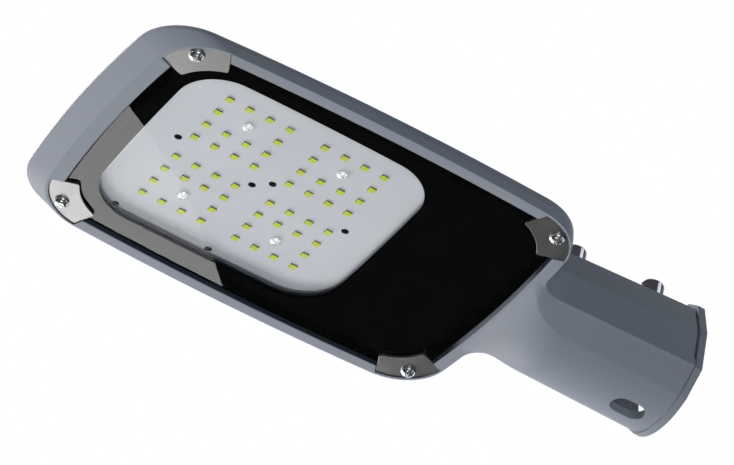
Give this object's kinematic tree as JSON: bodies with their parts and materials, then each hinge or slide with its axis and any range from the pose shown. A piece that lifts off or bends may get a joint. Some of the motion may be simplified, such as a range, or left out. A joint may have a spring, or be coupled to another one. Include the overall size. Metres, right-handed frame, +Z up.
{
  "type": "street light head",
  "caption": "Flat cast road lantern head with a glass-covered LED board, corner glass clamps, a finned roof and a rear socket that slides onto a horizontal pole and is held by two bolts.",
  "frame": {"origin": "centre of the pole socket's mouth, on the socket's axis at the collar's outer face", "axes": "+Z up, away from the road. The glass faces -Z. The head reaches out along +X, and the pole leaves along -X."},
  "size_m": [0.3517, 0.184, 0.0842],
  "materials": {
    "housing_paint": "satin blue-grey powder coat on cast aluminium",
    "toughened_glass": "polished, with a black print on the back outside a clear window",
    "gasket_rubber": "matt silicone",
    "board_face": "white solder mask on an aluminium board",
    "frame_plastic": "matt black",
    "driver_case": "plain cast case, potted",
    "terminal_plastic": "matt off-white",
    "gland_nylon": "black nylon",
    "clamp_stainless": "rolled stainless sheet",
    "screw_steel": "bright stainless",
    "bolt_chrome": "bright plated",
    "led_phosphor": "yellow-green phosphor over an LED die"
  },
  "bodies": {
    "root": {"housing": "housing_paint", "socket_end_collar": "housing_paint", "glass_lens": "toughened_glass", "glass_gasket": "gasket_rubber", "led_board": "board_face", "light_frame": "frame_plastic", "board_screw_front_left": "screw_steel", "board_screw_front_right": "screw_steel", "board_screw_rear_left": "screw_steel", "board_screw_rear_right": "screw_steel", "cable_gland_body": "gland_nylon", "cable_gland_cap": "gland_nylon", "clamp_screw_front_left": "screw_steel", "clamp_screw_front_right": "screw_steel", "clamp_screw_rear_left": "screw_steel", "clamp_screw_rear_right": "screw_steel", "driver_screw_left": "screw_steel", "driver_screw_right": "screw_steel", "glass_clamp_front_left": "clamp_stainless", "glass_clamp_front_right": "clamp_stainless", "glass_clamp_rear_left": "clamp_stainless", "glass_clamp_rear_right": "clamp_stainless", "led_driver": "driver_case", "led_group_front_left": "led_phosphor", "led_group_front_right": "led_phosphor", "led_group_rear_left": "led_phosphor", "led_group_rear_right": "led_phosphor", "pole_bolt_inner": "bolt_chrome", "pole_bolt_outer": "bolt_chrome", "terminal_block": "terminal_plastic"}
  },
  "joints": []
}
